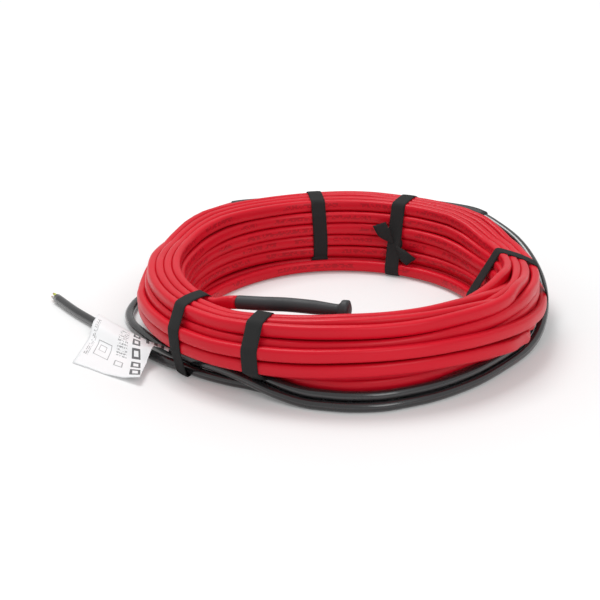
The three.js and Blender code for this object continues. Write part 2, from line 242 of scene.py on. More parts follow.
class Finish:
    """One material and the ways to wire it."""

    def __init__(self, name, **constants):
        self.material = bpy.data.materials.new(name)
        self.material.use_nodes = True
        self.tree = self.material.node_tree
        self.shader = self.tree.nodes["Principled BSDF"]
        for socket, value in constants.items():
            self.shader.inputs[socket.replace("_", " ")].default_value = value

    def feed(self, socket, value):
        if isinstance(value, Wire):
            self.tree.links.new(value.socket, socket)
        else:
            socket.default_value = value

    def node(self, kind, settings=None, output=0, **inputs):
        """Adds a node of any type; its settings come first, and then the values or links of its sockets."""
        node = self.tree.nodes.new("ShaderNode" + kind)
        for key, value in (settings or {}).items():
            setattr(node, key, value)
        for key, value in inputs.items():
            place = int(key[1:]) if key[0] == "i" and key[1:].isdigit() else key.replace("_", " ")
            self.feed(node.inputs[place], value)
        return Wire(self, node.outputs[output])

    def place(self):
        """Position on the object, in metres."""
        return self.node("TexCoord", output="Object")

    def along(self):
        """Distance along and round the piece, in metres, as two wires."""
        flat = self.node("UVMap", {"uv_map": "along"})
        parts = self.tree.nodes.new("ShaderNodeSeparateXYZ")
        self.feed(parts.inputs[0], flat)
        return Wire(self, parts.outputs[0]), Wire(self, parts.outputs[1])

    def noise(self, scale, detail=2.0, vector=None):
        return self.node("TexNoise", Scale=scale, Detail=detail, Vector=vector or self.place())

    def speckle(self, vector):
        """A steady random value for each whole-number place."""
        return self.node("TexWhiteNoise", {"noise_dimensions": "2D"}, Vector=vector)

    def pair(self, x, y):
        return self.node("CombineXYZ", i0=x, i1=y)

    def blend(self, factor, first, second):
        """Mixes two colours."""
        node = self.tree.nodes.new("ShaderNodeMix")
        node.data_type = "RGBA"
        self.feed(node.inputs[0], factor)
        for socket, value in ((node.inputs[6], first), (node.inputs[7], second)):
            self.feed(socket, value if isinstance(value, Wire) else (*value[:3], 1.0))
        return Wire(self, node.outputs[2])

    def bump(self, height, distance, strength=1.0):
        self.feed(self.shader.inputs["Normal"],
                  self.node("Bump", Height=height, Distance=distance, Strength=strength))

    def set(self, **values):
        for socket, value in values.items():
            self.feed(self.shader.inputs[socket.replace("_", " ")], value)


@functools.lru_cache(maxsize=None)
def red_sheath():
    """Glossy red extruded sheath with a faint printed row of plain ticks on its flat side."""
    red = tuple(bpy.context.scene.coil_finishes.red)
    finish = Finish("red_sheath", Roughness=0.36, Specular_IOR_Level=0.24)
    along, around = finish.along()
    tone = finish.noise(22.0, 2.0)
    base = finish.blend(tone, tuple(c * 0.86 for c in red), tuple(min(1.0, c * 1.1) for c in red))
    tick_width, tick_height, word_length = 1.1 * MM, 0.9 * MM, 12.5 * MM
    print_middle, print_half = 9.3 * MM, 1.35 * MM
    tick = finish.pair((along / tick_width).floor(), (around / tick_height).floor())
    inked = finish.speckle(tick) > 0.42
    word = finish.speckle(finish.pair((along / word_length).floor(), 3.0)) > 0.34
    on_face = abs(around - print_middle) < print_half
    ticks = inked * word * on_face
    finish.set(Base_Color=finish.blend(ticks * 0.42, base, tuple(c * 0.3 for c in red)))
    finish.set(Roughness=finish.noise(60.0, 3.0) * 0.12 + 0.31)
    finish.bump(finish.noise(140.0, 2.0), 0.0002, 0.25)
    return finish.material


@functools.lru_cache(maxsize=None)
def black_sheath():
    """Smooth glossy black sheath of the cold lead."""
    black = tuple(bpy.context.scene.coil_finishes.black)
    finish = Finish("black_sheath", Roughness=0.2, Specular_IOR_Level=0.55, Coat_Weight=0.6,
                    Coat_Roughness=0.08)
    finish.set(Base_Color=finish.blend(finish.noise(40.0), black, tuple(c * 1.7 for c in black)))
    finish.set(Roughness=finish.noise(90.0, 3.0) * 0.12 + 0.2)
    finish.bump(finish.noise(180.0), 0.0002, 0.2)
    return finish.material


@functools.lru_cache(maxsize=None)
def shrink_tube():
    """Matt black shrink tube."""
    colour = tuple(bpy.context.scene.coil_finishes.shrink)
    finish = Finish("shrink_tube", Roughness=0.55, Specular_IOR_Level=0.45)
    finish.set(Base_Color=finish.blend(finish.noise(70.0, 3.0), colour, tuple(c * 1.6 for c in colour)))
    finish.set(Roughness=finish.noise(240.0, 3.0) * 0.18 + 0.46)
    finish.bump(finish.noise(900.0, 3.0), 0.0003, 0.3)
    return finish.material


@functools.lru_cache(maxsize=None)
def woven_tape():
    """Matt woven black tape."""
    colour = tuple(bpy.context.scene.coil_finishes.tape)
    finish = Finish("woven_tape", Roughness=0.92, Specular_IOR_Level=0.25)
    along, across = finish.along()
    warp_pitch, weft_pitch = 0.7 * MM, 0.8 * MM
    warp = (across * (2.0 * math.pi / warp_pitch)).sin()
    weft = (along * (2.0 * math.pi / weft_pitch)).sin()
    weave = warp * weft * 0.5 + 0.5
    finish.set(Base_Color=finish.blend(weave, tuple(c * 0.6 for c in colour), tuple(c * 1.7 for c in colour)))
    finish.bump(weave, 0.00012, 0.6)
    return finish.material


def plain_material(name, colour, roughness):
    """A small part's finish with slight variation."""
    finish = Finish(name, Roughness=roughness)
    finish.set(Base_Color=finish.blend(finish.noise(900.0), tuple(c * 0.8 for c in colour), colour))
    return finish.material


# Mesh helpers


def make_object(name, vertices, faces, material, along=None):
    """A smooth-shaded mesh in metres from millimetres; along gives two numbers per face corner."""
    mesh = bpy.data.meshes.new(name)
    mesh.from_pydata((np.asarray(vertices, dtype=float) * MM).tolist(), [], faces)
    if along is not None:
        layer = mesh.uv_layers.new(name="along")
        layer.data.foreach_set("uv", (np.asarray(along, dtype=float) * MM).ravel())
    mesh.polygons.foreach_set("use_smooth", [True] * len(mesh.polygons))
    mesh.materials.append(material)
    mesh.validate()
    mesh.update()
    piece = bpy.data.objects.new(name, mesh)
    bpy.context.scene.collection.objects.link(piece)
    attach(piece, "root")
    return piece


def frames_along(centres):
    """Unit tangent, outward and upward directions along a line that stays nearly level."""
    tangent = np.gradient(centres, axis=0)
    tangent /= np.linalg.norm(tangent, axis=1, keepdims=True)
    outward = np.cross([0.0, 0.0, 1.0], tangent)
    outward /= np.linalg.norm(outward, axis=1, keepdims=True)
    return tangent, outward, np.cross(tangent, outward)


def ring_faces(rings, corners, closed=False):
    """Faces between successive rings of corners; closed joins the last ring to the first."""
    faces = []
    for ring in range(rings if closed else rings - 1):
        low, high = ring * corners, (ring + 1) % rings * corners
        for side in range(corners):
            after = (side + 1) % corners
            faces.append((low + side, low + after, high + after, high + side))
    return faces


def ring_along(run, girth):
    """Along values of those faces, from the run at each ring and the girth at each corner."""
    along = []
    for start, end in zip(run, run[1:]):
        for near, far in zip(girth, girth[1:]):
            along += [(start, near), (start, far), (end, far), (end, near)]
    return along


def tube(centres, sections, roll=None):
    """Vertices, faces and along values of a closed tube; sections is (rings or 1, corners, 2)."""
    count = len(centres)
    sections = np.broadcast_to(sections, (count, *np.shape(sections)[-2:]))
    _, outward, upward = frames_along(centres)
    if roll is not None:
        lean = np.radians(roll)[:, None]
        outward, upward = (outward * np.cos(lean) + upward * np.sin(lean),
                           upward * np.cos(lean) - outward * np.sin(lean))
    rings = (centres[:, None, :] + sections[:, :, 0, None] * outward[:, None, :]
             + sections[:, :, 1, None] * upward[:, None, :])
    corners = rings.shape[1]
    run = np.concatenate([[0.0], np.cumsum(np.linalg.norm(np.diff(centres, axis=0), axis=1))])
    girth = np.concatenate([[0.0], np.cumsum(np.linalg.norm(
        np.diff(sections[0], axis=0, append=sections[0][:1]), axis=1))])
    last = (count - 1) * corners
    ends = [tuple(reversed(range(corners))), tuple(range(last, last + corners))]
    along = ring_along(run, girth) + [(0.0, 0.0)] * corners + [(run[-1], 0.0)] * corners
    return rings.reshape(-1, 3), ring_faces(count, corners) + ends, along


def oval(width, height, corners, power=3.2):
    """Corners of a rounded flat section, counterclockwise."""
    turn = np.arange(corners) * (2.0 * math.pi / corners)
    across, up = np.cos(turn), np.sin(turn)
    return np.stack([np.sign(across) * np.abs(across) ** (2.0 / power) * width / 2.0,
                     np.sign(up) * np.abs(up) ** (2.0 / power) * height / 2.0], axis=1)


def curve_through(points, step):
    """Even points along a smooth curve through given points."""
    points = np.asarray(points, dtype=float)
    before = 2.0 * points[:1] - points[1:2]
    after = 2.0 * points[-1:] - points[-2:-1]
    chain = np.concatenate([before, points, after])
    fine = []
    for p0, p1, p2, p3 in zip(chain, chain[1:], chain[2:], chain[3:]):
        for t in np.arange(0.0, 1.0, 0.05):
            fine.append(0.5 * (2.0 * p1 + (p2 - p0) * t + (2.0 * p0 - 5.0 * p1 + 4.0 * p2 - p3) * t ** 2
                               + (3.0 * p1 - p0 - 3.0 * p2 + p3) * t ** 3))
    fine.append(points[-1])
    fine = np.array(fine)
    run = np.concatenate([[0.0], np.cumsum(np.linalg.norm(np.diff(fine, axis=0), axis=1))])
    places = np.linspace(0.0, run[-1], max(3, int(run[-1] / step)))
    return np.stack([np.interp(places, run, fine[:, axis]) for axis in range(3)], axis=1)


# The winding

CABLE_SQUARENESS = 2.9
ROUND = 2.0
FLOOR_GAP = 1.1
CROWN_SETBACK = 2.0
SHIFT_JITTER = 9.0
LOOSE_AFTER = 26.0
LEAST_LOOSE = 0.15
UPWARD_WANDER = 0.8
# How firmly a turn keeps to its place, freely, at the end seal and at the splice sleeve
TURN_HOLD = 0.05
SEAL_HOLD = 0.9
SLEEVE_HOLD = 0.6
# Stretch at the splice sleeve's start that the cable may enter, in degrees
SLEEVE_MOUTH = 6.0
# A radius that limits nothing, and a place where nothing is
FREE = 200.0
AWAY = (400.0, 0.0)
# Drift along the cable, as (waves in a turn, size)
DRIFT_WAVES = ((1.3, 0.45), (2.2, 0.4), (3.7, 0.3), (5.9, 0.18))
# First turn as it leaves the end seal, as (degrees travelled, radius, height)
SEAL_ENTRY = ((0.0, 83.6, 37.2), (3.0, 85.3, 37.6), (7.5, 88.2, 38.5), (12.5, 90.6, 39.4), (18.0, 92.0, 40.2))
# Last turn as it peels off into the splice sleeve, as (degrees travelled, radius, height)
SLEEVE_PEEL = (
    (40.0, 112.8, 28.0), (50.0, 112.4, 27.2), (60.0, 111.8, 29.4), (70.0, 112.6, 31.8), (83.0, 114.0, 34.4),
    (90.0, 114.4, 36.5), (106.0, 113.8, 39.0),
)
# How far out the cold lead lies on the floor, as (angle, radius)
LEAD_REACH = (
    (0, 113.0), (180, 116.0), (200, 116.0), (212, 110.0), (219.5, 107.0), (228, 105.0), (236, 103.2),
    (243, 104.5), (252, 108.8), (260, 112.2), (267, 114.5), (273, 116.0), (287, 114.7), (294, 113.2),
    (302, 111.0), (312, 108.7), (324, 107.6), (337, 109.0), (349, 111.0), (360, 113.0),
)
# How the coil sags, as (angle, drop of the inner crown, drop of the outer crown, pull inward)
CROWN_SAG = (
    (0, 4.5, 9.0, 2.8), (12, 6.0, 9.5, 2.4), (24, 6.5, 8.0, 1.5), (30, 5.0, 5.0, 0.8),
    (37, 2.5, 2.0, 0.0), (45, 0.5, 0.5, 0.0), (60, 0.0, 0.0, 0.0), (140, 0.0, 0.0, 0.0),
    (148, 0.5, 2.0, 0.0), (155, 1.0, 5.0, 0.5), (162, 2.0, 7.0, 1.5), (172, 2.5, 5.5, 2.8),
    (185, 3.0, 4.5, 2.8), (200, 4.0, 4.5, 2.0), (222, 6.0, 4.5, 0.5), (236, 5.5, 4.0, 0.0),
    (252, 2.5, 2.2, 0.0), (270, 0.5, 0.5, 0.0), (300, 0.0, 0.0, 0.0), (330, 1.5, 3.0, 0.8),
    (345, 3.0, 6.0, 2.0), (360, 4.5, 9.0, 2.8),
)
# How far out the lowest turns may lie, as (angle, radius)
FOOT_LIMIT = ((162, FREE), (172, 118.0), (185, 110.0), (200, 101.0), (222, 101.0), (236, 104.0), (252, FREE))


def turn_slots(cable):
    """Places (radius, height) of the successive turns in the coil's section, end seal first."""
    level = [FLOOR_GAP + mm(cable.layer) * (n + 0.5) for n in range(6)]
    column = [mm(cable.first_column) + mm(cable.column) * n for n in range(6)]
    slots = [(92.2, 40.2), (column[0] + CROWN_SETBACK, level[4])]
    slots += [(column[0], level[n]) for n in (3, 2, 1)]
    slots += [(82.0, level[0]), (column[0], level[0])]
    slots += [(column[1], level[n]) for n in range(4)]
    slots += [(column[1] + CROWN_SETBACK, level[4]), (97.3, level[5]), (column[2] + CROWN_SETBACK, level[4])]
    slots += [(column[2], level[n]) for n in (3, 2, 1)]
    slots += [(98.0, level[0]), (103.4, 12.4), (103.6, 19.6), (103.7, 26.7), (105.2, 33.6)]
    slots += [(102.4, level[5]), (107.6, 39.4)]
    slots += [(109.0, 32.0), (108.7, 24.8), (108.7, 17.6), (108.4, 10.8)]
    slots += [(112.9, 20.6), (113.1, 29.4)]
    return np.array(slots)


def wander_along(rng, count, per_turn):
    """Smooth random drift along the cable, about 1 at its strongest."""
    place = np.arange(count) / per_turn
    drift = np.zeros(count)
    for rate, size in DRIFT_WAVES:
        drift += size * np.sin(2.0 * math.pi * (rate * place + rng.random())) * (0.6 + 0.8 * rng.random())
    return drift


def looseness(angle):
    """0 at a tie and 1 halfway between two ties."""
    gap = np.min([np.abs(angle_between(angle, tie["angle"])) for tie in TIES.values()], axis=0)
    return smoothstep(gap / LOOSE_AFTER)


@functools.lru_cache(maxsize=None)
def wound_coil():
    """Radius and height of every turn at every station round the coil, and how many stations are used."""
    cable = bpy.context.scene.coil_cable
    slots = turn_slots(cable)
    turns = len(slots)
    travel = np.arange(turns * STATIONS) * (360.0 / STATIONS)
    used = (turns - 1) * STATIONS + int(round((SEAL_ANGLE - SLEEVE_START_ANGLE) / 360.0 * STATIONS)) + 1
    angle = SEAL_ANGLE - travel
    rng = np.random.default_rng(SEED)
    turn = (travel // 360.0).astype(int)
    jitter = rng.uniform(-SHIFT_JITTER, SHIFT_JITTER, turns)[turn]
    passed = (travel % 360.0) - (SEAL_ANGLE - (SHIFT_ANGLE + jitter))
    shift = smoothstep(passed / (2.0 * SHIFT_HALF) + 0.5)[:, None]
    after = np.minimum(turn + 1, turns - 1)
    target = slots[turn] * (1.0 - shift) + slots[after] * shift
    loose = looseness(angle) * (1.0 - LEAST_LOOSE) + LEAST_LOOSE
    stray = mm(cable.wander)
    target[:, 0] += wander_along(rng, len(travel), STATIONS) * stray * loose
    target[:, 1] += wander_along(rng, len(travel), STATIONS) * stray * UPWARD_WANDER * loose
    target = yield_to_lead(target, angle)
    target, hold = pin_ends(target, travel, turns)
    place = settle(target, hold, angle, used, (mm(cable.width), mm(cable.height)))
    return sag_crown(place, angle, travel), angle, used


def yield_to_lead(target, angle):
    """Draws the low turns in where the cold lead lies close to the coil's foot."""
    full_reach, foot_top, foot_fade = 116.0, 19.0, 7.0
    inner_radius, depth = 92.0, 12.0
    inner_share, more_outside = 0.62, 0.36
    (reach,) = at_angle(LEAD_REACH, np.mod(angle, 360.0))
    low = share(foot_top - target[:, 1], foot_fade)
    lean = share(target[:, 0] - inner_radius, depth)
    target[:, 0] -= (inner_share + more_outside * lean) * low * (full_reach - reach)
    return target


def pin_ends(target, travel, turns):
    """Leads the first turn into the end seal and the last one into the splice sleeve."""
    hold = np.full(len(travel), TURN_HOLD)
    past = travel - (turns - 1) * 360.0
    first, last = travel < SEAL_ENTRY[-1][0], past > SLEEVE_PEEL[0][0]
    target[first] = np.stack(at_angle(SEAL_ENTRY, travel[first]), axis=1)
    hold[first] = SEAL_HOLD
    target[last] = np.stack(at_angle(SLEEVE_PEEL, past[last]), axis=1)
    hold[last] = SLEEVE_HOLD
    return target, hold


def lead_sections():
    """Radius and height of the cold lead each time it passes a station of the coil."""
    line = lead_line()
    turn = np.degrees(np.unwrap(np.arctan2(line[:, 1], line[:, 0])))
    radius = np.hypot(line[:, 0], line[:, 1])
    angles = SEAL_ANGLE - np.arange(STATIONS) * (360.0 / STATIONS)
    passes = []
    for lap in range(-3, 2):
        wanted = angles + 360.0 * lap
        there = (wanted < turn[0]) & (wanted > turn[-1])
        place = np.stack([np.interp(wanted, turn[::-1], radius[::-1]),
                          np.interp(wanted, turn[::-1], line[::-1, 2])], axis=1)
        place[~there] = AWAY
        passes.append(place)
    return np.array(passes)


def push_apart(gap, size, strength):
    """Moves one of two flat sections away from the other, as far as they overlap."""
    apart = gap / size
    reach = np.maximum((apart ** 4).sum(axis=-1, keepdims=True), 1e-9) ** 0.25
    slope = apart ** 3 / reach ** 3 / size
    return strength * np.maximum(0.0, 1.0 - reach) * slope / np.maximum(
        (slope ** 2).sum(axis=-1, keepdims=True), 1e-9)


def settle(target, hold, angle, used, size):
    """Relaxes the turns so that they lie beside and on each other and the lead, and not in them."""
    steps, smoothing, sink = 170, 0.35, 0.004
    turn_push, lead_push, largest_move = 0.42, 0.8, 0.8
    rest_gap, tape_gap, tape_end, tape_fade = 0.15, 0.85, 0.02, 4.0
    place = target.copy()
    turns = len(target) // STATIONS
    upper, lower = np.triu_indices(turns, 1)
    on_tape = 1.0 - smoothstep((looseness(angle) - tape_end) * tape_fade)
    floor = size[1] / 2.0 + rest_gap + tape_gap * on_tape
    live = np.zeros(len(target), dtype=bool)
    live[:used] = True
    live = live.reshape(turns, STATIONS)
    both = (live[upper] & live[lower])[:, :, None]
    lead = lead_sections()
    sizes = bpy.context.scene.coil_lead
    lead_size = (np.array(size) + mm(sizes.diameter)) / 2.0
    sleeve_size = (np.array(size) + mm(sizes.sleeve)) / 2.0
    around = SEAL_ANGLE - np.arange(STATIONS) * (360.0 / STATIONS)
    sleeve = np.stack(sleeve_place(around), axis=1)
    sleeve[(around > SLEEVE_START_ANGLE - SLEEVE_MOUTH) | (around < SLEEVE_END_ANGLE)] = AWAY
    for _ in range(steps):
        inner = place[1:used - 1]
        inner += smoothing * (0.5 * (place[:used - 2] + place[2:used]) - inner)
        place += hold[:, None] * (target - place)
        grid = place.reshape(turns, STATIONS, 2)
        for _ in range(2):
            move = push_apart(grid[upper] - grid[lower], size, turn_push) * both
            change = np.zeros_like(grid)
            np.add.at(change, upper, move)
            np.add.at(change, lower, -move)
            for section in lead:
                change += push_apart(grid - section[None], lead_size, lead_push)
            change += push_apart(grid - sleeve[None], sleeve_size, lead_push)
            grid += np.clip(change, -largest_move, largest_move)
        place[:, 1] = np.maximum(place[:, 1] - sink, floor)
    return place


def sag_crown(place, angle, travel):
    """Lowers the crown where the coil sags at its sides, and keeps the lowest turns behind the cold lead."""
    inner_radius, depth = 88.0, 22.0
    crown_start, crown_height = 8.0, 33.0
    foot_top, foot_fade, level_run = 18.0, 5.0, 10.0
    around = np.mod(angle, 360.0)
    inner, outer, pull = at_angle(CROWN_SAG, around)
    (foot,) = at_angle(FOOT_LIMIT, around)
    lean = share(place[:, 0] - inner_radius, depth)
    high = share(place[:, 1] - crown_start, crown_height)
    low = share(foot_top - place[:, 1], foot_fade)
    place = place.copy()
    place[:, 1] -= high * (inner * (1.0 - lean) + outer * lean) * smoothstep(travel / level_run)
    place[:, 0] -= pull * lean
    place[:, 0] = np.minimum(place[:, 0], foot * low + FREE * (1.0 - low))
    return place


def cable_line():
    """Centre points of the whole heating cable, end seal first."""
    place, angle, used = wound_coil()
    return polar(place[:used, 0], angle[:used], place[:used, 1])


# Routes of the cold lead, the sleeve and the seal

LEAD_STEP = 3.4
SLEEVE_STEP = 2.6
SEAL_STEP = 0.8
LEAD_LIES = 2.7
FREE_END_LIES = 2.8
# Cold lead's centre line from the sleeve, as (angle, radius) where it lies on the floor, else with its height
LEAD_ROUTE = (
    # Drop from the sleeve to the floor at the right
    (44, 113.1, 38.8), (38, 113.3, 37.6), (26, 114.2, 32.4), (16, 114.8, 25.8), (6, 114.5, 19.0),
    (-4, 113.2, 12.5), (-14, 111.5, 7.2), (-23, 109.5, 3.8), (-32, 107.8, 2.8),
    # First pass, outermost at the front and bulging at the left
    (-48, 108.7), (-58, 111.0), (-66, 113.2), (-73, 114.7), (-80, 116.4), (-87, 116.0), (-93, 114.5),
    (-100, 112.2, 2.8), (-108, 108.8, 4.7), (-117, 104.9, 7.1), (-124, 103.2, 8.1), (-132, 103.1, 7.9),
    (-140.5, 103.2, 6.4), (-148, 104.2, 4.6), (-155, 105.4, 3.2), (-161, 107.8, 2.8), (-168, 112.0),
    (-175, 117.5), (-183, 121.3), (-192, 121.5), (-200, 118.0), (-209, 111.5), (-220, 107.0), (-235, 105.8),
    (-260, 105.8), (-290, 105.8), (-320, 105.8), (-335, 105.8, 3.0), (-342, 106.0, 4.8), (-350, 106.4, 8.0),
    (-360, 107.0, 8.0),
    # Second pass, in the groove above the first and the third
    (-372, 106.3, 7.5), (-383, 105.1, 7.4), (-392, 105.1, 7.4), (-408, 106.0, 7.3), (-418, 108.3, 7.3),
    (-426, 110.5, 7.3), (-433, 112.0, 7.3), (-440, 113.7, 7.3), (-447, 113.3, 7.3), (-453, 111.8, 7.3),
    (-460, 109.4, 7.4), (-468, 105.3, 8.8), (-477, 100.4, 10.2), (-484, 98.9, 11.2), (-492, 98.9, 11.1),
    (-500.5, 99.3, 10.0), (-512, 104.0, 10.5), (-522, 108.0, 11.5), (-532, 110.5, 12.5), (-542, 111.8, 12.5),
    (-552, 112.2, 10.0), (-562, 111.9, 6.5), (-574, 111.4, 3.2), (-590, 111.2), (-620, 111.2), (-650, 111.2),
    (-680, 111.2), (-700, 111.2), (-710, 109.4), (-720, 105.6),
    # Third pass, innermost at the front and crossing under the first to the outside
    (-730, 103.6), (-743, 102.6), (-752, 102.5), (-768, 103.4), (-778, 105.7), (-786, 107.9), (-793, 109.4),
    (-800, 111.1), (-807, 110.7), (-813, 109.2), (-820, 106.9), (-828, 103.4), (-837, 101.5), (-844, 102.8),
    (-852, 104.7), (-860.5, 107.0),
)
# Cold lead's free end on the floor, as (x, y)
FREE_END = ((-91.5, -61.8), (-105.5, -47.8), (-121.0, -29.5), (-137.0, -10.2), (-152.5, 8.6), (-167.0, 29.0))
# Splice sleeve's centre line, as (angle, radius, height)
SLEEVE_ROUTE = (
    (126.5, 113.8, 39.2), (118, 113.6, 37.7), (110, 113.5, 36.5), (99.5, 113.2, 35.4), (83, 113.0, 34.9),
    (67, 113.1, 36.8), (55, 113.1, 37.7), (46, 113.1, 38.7), (40, 113.1, 38.7),
)
# End seal's centre line, as (radius, angle, height)
SEAL_ROUTE = (
    (83.6, 230.3, 37.2), (80.2, 240.0, 38.4), (79.0, 250.0, 39.7), (81.2, 262.0, 40.5), (85.2, 272.6, 40.6),
)
# End seal's width along it, as a share of its full width
SEAL_PROFILE = (
    (0.0, 0.96), (0.01, 1.0), (0.3, 1.02), (0.7, 1.0), (0.84, 0.84), (0.9, 0.8), (0.915, 0.95), (0.93, 1.4),
    (0.94, 1.5), (0.985, 1.54), (0.993, 1.46), (0.996, 1.1), (1.0, 1.02),
)


def sleeve_place(angle):
    """Radius and height of the splice sleeve's centre at an angle."""
    return at_angle(SLEEVE_ROUTE[::-1], angle)


@functools.lru_cache(maxsize=None)
def lead_line():
    """Centre points of the cold lead from the splice sleeve to its cut end."""
    coil = [polar(radius, angle, *(height or [LEAD_LIES])) for angle, radius, *height in LEAD_ROUTE]
    coil += [np.array([x, y, FREE_END_LIES]) for x, y in FREE_END]
    return curve_through(coil, LEAD_STEP)


class COIL_OT_wind_cable(bpy.types.Operator):
    """Wind the red heating cable"""

    bl_idname = "coil.wind_cable"
    bl_label = "Wind heating cable"

    def execute(self, context):
        cable = context.scene.coil_cable
        centres = cable_line()
        section = oval(mm(cable.width), mm(cable.height), 18, CABLE_SQUARENESS)
        rng = np.random.default_rng(SEED + 1)
        largest_roll = 5.0
        roll = largest_roll * wander_along(rng, len(centres), STATIONS)
        vertices, faces, along = tube(centres, section[None], roll)
        piece = make_object("heating_cable", vertices, faces, red_sheath(), along)
        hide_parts("heating_cable_coil", "heating_cable_loose_turn", "heating_cable_outer_turn",
                    "heating_cable_inner_end")
        return {"FINISHED"}


class COIL_OT_lay_lead(bpy.types.Operator):
    """Lay the black cold lead"""

    bl_idname = "coil.lay_lead"
    bl_label = "Lay cold lead"

    def execute(self, context):
        diameter = context.scene.coil_lead.diameter
        centres = lead_line()
        vertices, faces, along = tube(centres, oval(mm(diameter), mm(diameter), 16, ROUND)[None])
        piece = make_object("cold_lead", vertices, faces, black_sheath(), along)
        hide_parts("cold_lead_start", "cold_lead_coil", "cold_lead_free_end")
        return {"FINISHED"}


# Ties

# How far round the coil a tie gathers the lead, and the cable past the tape's half width, in degrees
LEAD_SPREAD = 3.4
CABLE_SPREAD = 1.4
MEAN_RADIUS = 100.0
# The loose lowest turn lies inside this radius, and the left back tie leaves it out
LOOSE_TURN_RADIUS = 84.5
SLEEVE_WRAPPED = 8.2
# Tape's points along and across it, how it stands off the coil and how it drifts, as (waves, size)
TAPE_STEP = 1.1
TAPE_COLUMNS = 7
TAPE_STANDOFF = 0.12
TAPE_UNDERSIDE = 0.02
TAPE_LOWEST = 0.03
TAPE_DRIFT = ((1, 0.4), (2, 0.25), (3, 0.15))
# How much thinner the tape is at its edges, and its thickness on the edge itself, as shares
TAPE_EDGE_LOSS = 0.25
TAPE_EDGE = 0.3


def section_points(name, half_width):
    """Corners (radius, height) of everything that one tie wraps, over the tape's width."""
    cable = bpy.context.scene.coil_cable
    lead = mm(bpy.context.scene.coil_lead.diameter)
    tie = TIES[name]
    place, angle, used = wound_coil()
    outline = oval(mm(cable.width), mm(cable.height), 16, CABLE_SQUARENESS)
    half_turn = np.degrees(half_width / MEAN_RADIUS) + CABLE_SPREAD
    points = []
    turns = len(place) // STATIONS
    for turn in range(turns):
        stations = np.arange(turn * STATIONS, min((turn + 1) * STATIONS, used))
        where = tie["angle"] + tie["skew"] * (place[stations, 0] - SECTION_MIDDLE) / SECTION_DEPTH
        near = np.abs(angle_between(angle[stations], where)) < half_turn
        for station in stations[near]:
            if name == "tie_back_left" and place[station, 0] < LOOSE_TURN_RADIUS:
                continue
            points.append(place[station] + outline)
    if tie["lead"]:
        ring = oval(lead, lead, 12, ROUND)
        line = lead_line()
        radius = np.hypot(line[:, 0], line[:, 1])
        turn_angle = np.degrees(np.arctan2(line[:, 1], line[:, 0]))
        where = tie["angle"] + tie["skew"] * (radius - SECTION_MIDDLE) / SECTION_DEPTH
        near = np.abs(angle_between(turn_angle, where)) < LEAD_SPREAD
        for spot in np.flatnonzero(near):
            points.append(np.array([radius[spot], line[spot, 2]]) + ring)
    if SLEEVE_END_ANGLE < tie["angle"] < SLEEVE_START_ANGLE:
        points.append(np.array(sleeve_place(tie["angle"])) + oval(SLEEVE_WRAPPED, SLEEVE_WRAPPED, 16, ROUND))
    return np.concatenate(points)


def convex_outline(points):
    """Counterclockwise convex outline round points."""
    points = np.unique(points.round(4), axis=0)

    def chain(ordered):
        kept = []
        for point in ordered:
            while len(kept) > 1:
                edge, step = kept[-1] - kept[-2], point - kept[-1]
                if edge[0] * step[1] - edge[1] * step[0] > 1e-6:
                    break
                kept.pop()
            kept.append(point)
        return kept[:-1]

    return np.array(chain(points) + chain(points[::-1]))


def rounded_outline(outline, offset, step):
    """Grows a convex outline, spaces its points evenly and softens its corners."""
    edges = np.roll(outline, -1, axis=0) - outline
    normals = np.stack([edges[:, 1], -edges[:, 0]], axis=1)
    normals /= np.linalg.norm(normals, axis=1, keepdims=True)
    grown = []
    for index, point in enumerate(outline):
        grown += [point + offset * normals[index - 1], point + offset * normals[index]]
    grown = np.array(grown + grown[:1])
    run = np.concatenate([[0.0], np.cumsum(np.linalg.norm(np.diff(grown, axis=0), axis=1))])
    places = np.arange(0.0, run[-1], step)
    return np.stack([np.interp(places, run, grown[:, axis]) for axis in range(2)], axis=1)


def band(name, width, thickness):
    """Vertices, faces and along values of one tape closed round the section."""
    tie = TIES[name]
    outline = convex_outline(section_points(name, width / 2.0))
    inner = rounded_outline(outline, TAPE_STANDOFF, TAPE_STEP)
    edges = np.roll(inner, -1, axis=0) - np.roll(inner, 1, axis=0)
    normal = np.stack([edges[:, 1], -edges[:, 0]], axis=1)
    normal /= np.linalg.norm(normal, axis=1, keepdims=True)
    rng = np.random.default_rng(len(name))
    count = len(inner)
    drift = sum(size * np.sin(2.0 * math.pi * (rate * np.arange(count) / count + rng.random()))
                for rate, size in TAPE_DRIFT)
    columns = np.linspace(-1.0, 1.0, TAPE_COLUMNS)
    profile = [(side, thickness * (1.0 - TAPE_EDGE_LOSS * side ** 4)) for side in columns]
    profile += [(1.0, thickness * TAPE_EDGE)] + [(side, TAPE_UNDERSIDE) for side in columns[::-1]]
    rings = []
    for side, lift in profile:
        skin = inner + normal * lift
        skin[:, 1] = np.maximum(skin[:, 1], TAPE_LOWEST)
        centre = tie["angle"] + tie["skew"] * (skin[:, 0] - SECTION_MIDDLE) / SECTION_DEPTH
        offset = np.degrees((side * width / 2.0 + drift) / skin[:, 0])
        rings.append(polar(skin[:, 0], centre + offset, skin[:, 1]))
    rings = np.stack(rings, axis=1)
    reach = [side * width / 2.0 for side, _ in (*profile, profile[0])]
    along = ring_along(np.arange(count + 1) * TAPE_STEP, reach)
    return rings.reshape(-1, 3), ring_faces(count, rings.shape[1], closed=True), along


class COIL_OT_tie_coil(bpy.types.Operator):
    """Tie the coil with five tapes"""

    bl_idname = "coil.tie_coil"
    bl_label = "Tie coil"

    def execute(self, context):
        sizes = context.scene.coil_ties
        for name in TIES:
            vertices, faces, along = band(name, mm(sizes.width), mm(sizes.thickness))
            piece = make_object(name + "_tape", vertices, faces, woven_tape(), along)
            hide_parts(name)
        return {"FINISHED"}


